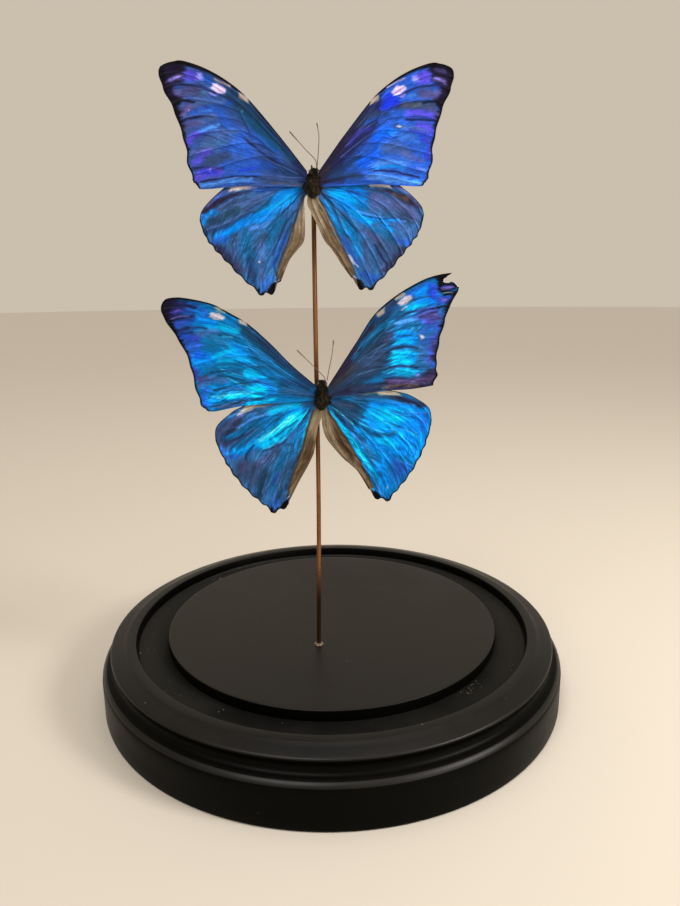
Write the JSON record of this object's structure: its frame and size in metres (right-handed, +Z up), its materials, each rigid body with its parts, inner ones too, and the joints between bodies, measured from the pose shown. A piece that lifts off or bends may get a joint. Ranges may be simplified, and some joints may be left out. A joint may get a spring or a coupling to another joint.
{
  "type": "pair of mounted butterflies on a display base",
  "caption": "Spread dried blue butterflies, one above the other, glued to a thin copper rod on a round black turned base with a groove for a glass dome.",
  "frame": {"origin": "centre of the base's underside, where it rests", "axes": "+Z up along the rod; the butterflies' backs look towards -Y; +X is to their right as seen from the front"},
  "size_m": [0.148, 0.148, 0.1828],
  "materials": {
    "black_paint": "black painted turned wood, eggshell sheen, a little dust",
    "satin_black_paint": "smooth satin black paint on a wooden disc",
    "copper": "copper coated steel rod, drawn, slightly dulled",
    "clear_glue": "dried clear glue",
    "brown_fur": "dark brown insect body with fine fur",
    "horn": "dry brown horn",
    "violet_blue_wing": "iridescent deep blue and violet wing scales, brown underneath",
    "cyan_blue_wing": "iridescent bright azure wing scales, brown underneath"
  },
  "bodies": {
    "root": {"turned_base": "black_paint", "centre_disc": "satin_black_paint", "copper_rod": "copper", "foot_bead": "clear_glue", "upper_thorax": "brown_fur", "upper_head": "brown_fur", "upper_antenna_left": "horn", "upper_antenna_right": "horn", "upper_forewing_left": "violet_blue_wing", "upper_forewing_right": "violet_blue_wing", "upper_hindwing_left": "violet_blue_wing", "upper_hindwing_right": "violet_blue_wing", "upper_glue": "clear_glue", "lower_thorax": "brown_fur", "lower_head": "brown_fur", "lower_antenna_left": "horn", "lower_antenna_right": "horn", "lower_forewing_left": "cyan_blue_wing", "lower_forewing_right": "cyan_blue_wing", "lower_hindwing_left": "cyan_blue_wing", "lower_hindwing_right": "cyan_blue_wing", "lower_glue": "clear_glue"}
  },
  "joints": []
}
